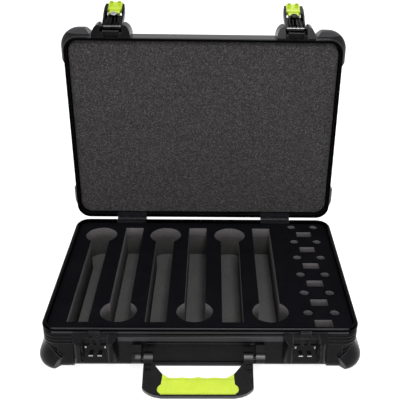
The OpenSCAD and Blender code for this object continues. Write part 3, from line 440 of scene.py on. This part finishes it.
# Foam: open cells of several sizes, paler and darker flecks, a crushed look on cut edges
def foam(name, look):
    kit = Shader(name)
    pores = kit.cells(look["pore"])
    fine = kit.noise(look["pore"] * look["fineShare"], rough=0.7)
    cloud = kit.noise(look["cloud"], detail=4.0)
    hole = 1.0 - kit.cells(look["pore"] * look["holeShare"]).between(*look["holeRange"])
    grain = kit.node("ShaderNodeSeparateColor", {}, {"Color": kit.cells(look["grain"], "Color")})
    lit = (fine.between(*look["speckRange"]) * look["speck"]
           + grain.between(*look["sparkRange"]) * look["spark"])
    patch = cloud.between(*blend) * (1.0 - look["fleck"]) + grain * look["fleck"]
    tone = kit.mix(patch, look["dark"], look["light"])
    tone = kit.mix(lit, tone, look["pale"])
    tone = kit.mix(hole * look["hole"], tone, look["deep"])
    tone = kit.mix(kit.edge(look["edge"]) * look["rubAndHighlight"], tone, look["pale"])
    relief = kit.bump(pores * look["poreDepth"] + fine, look["depth"], kit.rounded(look["round"]))
    return kit.finish(color=tone, roughness=look["roughness"], specular=look["specular"],
                      normal=relief)


foamBase = {"pore": 1.6, "poreDepth": 0.6, "fineShare": 0.8, "cloud": 40.0, "depth": 0.5,
            "grain": 1.4, "fleck": 0.3, "spark": 0.1, "sparkRange": (0.78, 1.0),
            "speck": 0.6, "speckRange": (0.55, 0.72),
            "hole": 0.6, "holeShare": 1.7, "holeRange": (0.12, 0.34),
            "edge": 1.5, "rubAndHighlight": 0.4, "round": 1.0, "roughness": 0.95, "specular": 0.03}
foamLooks = {
    "foam_lid": {**foamBase, "dark": (0.030, 0.028, 0.0285), "light": (0.092, 0.087, 0.089),
                 "pale": (0.22, 0.21, 0.215), "deep": (0.014, 0.014, 0.014),
                 "pore": 1.7, "grain": 1.45, "fleck": 0.95, "spark": 0.35, "speck": 0.3,
                 "hole": 0.4},
    "foam_facing": {**foamBase, "dark": (0.0040, 0.0040, 0.0054),
                    "light": (0.0066, 0.0066, 0.0086), "pale": (0.030, 0.030, 0.036),
                    "deep": (0.0006, 0.0006, 0.001), "pore": 0.9, "depth": 0.12,
                    "speck": 0.3, "hole": 0.3, "round": 0.5, "edge": 0.7, "rubAndHighlight": 0.35,
                    "specular": 0.02},
    "foam_light": {**foamBase, "dark": (0.140, 0.130, 0.133), "light": (0.185, 0.172, 0.176),
                   "pale": (0.32, 0.30, 0.305), "deep": (0.05, 0.046, 0.047)},
    "foam_dark": {**foamBase, "dark": (0.068, 0.066, 0.064), "light": (0.090, 0.087, 0.085),
                  "pale": (0.17, 0.165, 0.162), "deep": (0.026, 0.025, 0.024)},
    "foam_floor": {**foamBase, "dark": (0.135, 0.134, 0.133), "light": (0.165, 0.164, 0.162),
                   "pale": (0.26, 0.258, 0.256), "deep": (0.05, 0.049, 0.048)}}

slotFinish = {"shell": plastic("shell", shellLook), "hardware": plastic("hardware", hardwareLook),
              "lime_trigger": plastic("lime_trigger", triggerLook),
              "lime_grip": rubber("lime_grip", gripLook), "rim": metal("rim", rimLook),
              "steel": metal("steel", steelLook), "lock_metal": metal("lock_metal", lockLook),
              "hinge_metal": metal("hinge_metal", hingeLook),
              "strike_metal": strikeMetal("strike_metal", strikeLook)}
slotFinish.update({name: foam(name, look) for name, look in foamLooks.items()})

# Pieces whose finish differs from their slot's, by how their names begin
ownFinish = {
    ("base_rim",): metal("base_rim", baseRimLook),
    ("strike_rivets",): metal("stud", studLook),
    ("latch_pin",): metal("latch_pin", pinLook),
    ("keeper",): plastic("keeper", keeperLook),
    ("handle_frame", "handle_bracket"): plastic("handle", handleLook),
    ("latch_lever", "lock_blank"): plastic("latch", latchLook),
    ("latch_mount",): plastic("latch_mount", mountLook)}
slotOf = {part["node"]: part["material_slot"] for part in frame["record"]["subparts"]}
bodyOf = {node: body for body, group in frame["record"]["behaviour"]["bodies"].items()
          for node in group}


def finishOf(node):
    for starts, finish in ownFinish.items():
        if node.startswith(starts):
            return finish
    return slotFinish[slotOf[node]]


for name, piece in nodes.items():
    for holder in piece.material_slots:
        holder.material = finishOf(name)
print("materials made and given")

weldReach = 0.02 * mm
flatAngle = math.radians(1.0)


def weld(form):
    bmesh.ops.remove_doubles(form, verts=form.verts, dist=weldReach)


# A piece whose mesh is a welded copy of a CAD node's
def copyOf(node, name):
    mesh = nodes[node].data.copy()
    form = bmesh.new()
    form.from_mesh(mesh)
    weld(form)
    bmesh.ops.dissolve_limit(form, angle_limit=flatAngle, verts=form.verts, edges=form.edges)
    form.to_mesh(mesh)
    form.free()
    if mesh.attributes.get("custom_normal"):
        mesh.attributes.remove(mesh.attributes["custom_normal"])
    piece = bpy.data.objects.new(name, mesh)
    bpy.context.collection.objects.link(piece)
    return piece


# Applies a piece's modifiers and leaves a plain mesh
def bake(piece):
    bpy.context.view_layer.update()
    finished = piece.evaluated_get(bpy.context.evaluated_depsgraph_get())
    made = bpy.data.meshes.new_from_object(finished)
    piece.modifiers.clear()
    piece.data = made


# Smooth shading that keeps edges sharper than the angle
def shade(piece, sharpAngle=None):
    for face in piece.data.polygons:
        face.use_smooth = True
    if sharpAngle:
        piece.data.set_sharp_from_angle(angle=math.radians(sharpAngle))


def standFor(piece, node):
    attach(piece, bodyOf[node])
    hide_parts(node)


def foamPiece(piece, node):
    piece.data.materials.clear()
    piece.data.materials.append(finishOf(node))
    standFor(piece, node)


# Cut foam: crisp walls, edges just broken
layerLook = {"segments": 2, "cornerAngle": 40, "sharpAngle": 50, "fill": 1.0,
             "edge": {"foam_base_sheet": 0.8, "foam_lower": 0.7, "foam_upper": 0.7,
                      "foam_facing": 0.5}}


def cutLayer(node, look):
    piece = copyOf(node, node + "_cut")
    trim = piece.modifiers.new("edges", "BEVEL")
    trim.width = look["edge"][node] * mm
    trim.segments = look["segments"]
    trim.limit_method = "ANGLE"
    trim.angle_limit = math.radians(look["cornerAngle"])
    bake(piece)
    shade(piece, look["sharpAngle"])
    foamPiece(piece, node)


for node in layerLook["edge"]:
    cutLayer(node, layerLook)

lidFoamLook = {"voxel": 3.0, "soften": 6, "factor": 0.5, "rise": 0.5, "wave": 55.0, "shift": 3.1,
               "fill": 0.95}


# The lid's pad: softened edges and a slightly uneven face
def lidPad(look):
    piece = copyOf("lid_foam", "lid_foam_pad")
    dense = piece.modifiers.new("dense", "REMESH")
    dense.mode = "VOXEL"
    dense.voxel_size = look["voxel"] * mm
    soft = piece.modifiers.new("soft", "SMOOTH")
    soft.factor = look["factor"]
    soft.iterations = look["soften"]
    bake(piece)
    near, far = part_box("lid_foam")
    middle = (near[1] + far[1]) / 2
    for corner in piece.data.vertices:
        p = corner.co
        if p.y < middle:
            wave = noise.noise(Vector((p.x, p.z, look["shift"])) / (look["wave"] * mm))
            p.y += look["rise"] * mm * wave
    shade(piece)
    foamPiece(piece, "lid_foam")


lidPad(lidFoamLook)
print("foam made")


# The heads of a node's rivets: the middle of each solid, on the face that looks the given way
def rivetSpots(node, way):
    form = bmesh.new()
    form.from_mesh(nodes[node].data)
    weld(form)
    left, spots = set(form.verts), []
    while left:
        group, queue = [], [left.pop()]
        while queue:
            corner = queue.pop()
            group.append(corner.co.copy())
            beside = {edge.other_vert(corner) for edge in corner.link_edges} & left
            left -= beside
            queue.extend(beside)
        middle = Vector([(min(p[i] for p in group) + max(p[i] for p in group)) / 2
                         for i in range(3)])
        spots.append(middle + way * (max(p.dot(way) for p in group) - middle.dot(way)))
    form.free()
    return sorted(spots, key=lambda spot: tuple(round(v, 5) for v in spot))


rivetDetail = {"rings": 24, "sides": 28, "tip": 0.0004, "sharpAngle": 45}
# Sizes in millimetres; dome and brim stand proud of the plate, the shank is sunk in it
rivetLooks = {
    "strike_rivets": {"way": (0, -1, 0), "Radius": 2.2, "Dome": 1.0, "Brim": 0.3, "Sunk": 1.2},
    "hinge_base_rivets": {"way": (0, 1, 0), "Radius": 3.5, "Dome": 1.2, "Brim": 0.4, "Sunk": 1.4},
    "hinge_lid_rivets": {"way": (0, 0, -1), "Radius": 3.5, "Dome": 1.2, "Brim": 0.4, "Sunk": 1.4}}


# A domed rivet on every point: its radius follows a quarter of an ellipse up the dome
def rivetTree(detail):
    tree = bpy.data.node_groups.new("rivets", "GeometryNodeTree")
    inputs = {"Spots": "Geometry", "Radius": "Float", "Dome": "Float", "Brim": "Float",
              "Sunk": "Float", "Way": "Vector", "Metal": "Material"}
    for name, kind in inputs.items():
        tree.interface.new_socket(name, in_out="INPUT", socket_type="NodeSocket" + kind)
    tree.interface.new_socket("Rivets", in_out="OUTPUT", socket_type="NodeSocketGeometry")
    kit = NodeKit(tree)
    asked = {name: kit.node("NodeGroupInput", {}, {}, name) for name in inputs}
    foot = kit.node("ShaderNodeCombineXYZ", {}, {"Z": 0.0 - asked["Sunk"]})
    crown = kit.node("ShaderNodeCombineXYZ", {}, {"Z": asked["Dome"] + asked["Brim"]})
    line = kit.node("GeometryNodeCurvePrimitiveLine", {}, {"Start": foot, "End": crown})
    line = kit.node("GeometryNodeResampleCurve", {}, {"Curve": line, "Count": detail["rings"]})
    height = kit.split(kit.node("GeometryNodeInputPosition", {}, {}))[2]
    climb = kit.maths("DIVIDE", height - asked["Brim"], asked["Dome"]).atLeast(0.0)
    spread = kit.maths("POWER", (1.0 - climb * climb).atLeast(detail["tip"]), 0.5)
    radius = asked["Radius"] * spread
    circle = kit.node("GeometryNodeCurvePrimitiveCircle", {},
                      {"Resolution": detail["sides"], "Radius": 1.0})
    rivet = kit.node("GeometryNodeCurveToMesh", {},
                     {"Curve": line, "Profile Curve": circle, "Scale": radius,
                      "Fill Caps": True})
    turn = kit.node("FunctionNodeAlignRotationToVector", {"axis": "Z"}, {"Vector": asked["Way"]})
    made = kit.node("GeometryNodeInstanceOnPoints", {},
                    {"Points": asked["Spots"], "Instance": rivet, "Rotation": turn})
    made = kit.node("GeometryNodeRealizeInstances", {}, {"Geometry": made})
    made = kit.node("GeometryNodeSetMaterial", {}, {"Geometry": made, "Material": asked["Metal"]})
    kit.node("NodeGroupOutput", {}, {"Rivets": made})
    return tree


def makeRivets(node, look, tree):
    way = Vector(look["way"])
    top = (look["Dome"] + look["Brim"]) * mm
    mesh = bpy.data.meshes.new(node + "_domed")
    mesh.from_pydata([spot - way * top for spot in rivetSpots(node, way)], [], [])
    piece = bpy.data.objects.new(node + "_domed", mesh)
    bpy.context.collection.objects.link(piece)
    given = {name: look[name] * mm for name in ("Radius", "Dome", "Brim", "Sunk")}
    given.update({"Way": way, "Metal": finishOf(node)})
    growth = piece.modifiers.new("rivets", "NODES")
    growth.node_group = tree
    for item in tree.interface.items_tree:
        if item.name in given:
            growth[item.identifier] = given[item.name]
    bake(piece)
    shade(piece, rivetDetail["sharpAngle"])
    standFor(piece, node)


rivets = rivetTree(rivetDetail)
for node, look in rivetLooks.items():
    makeRivets(node, look, rivets)
print("rivets made")
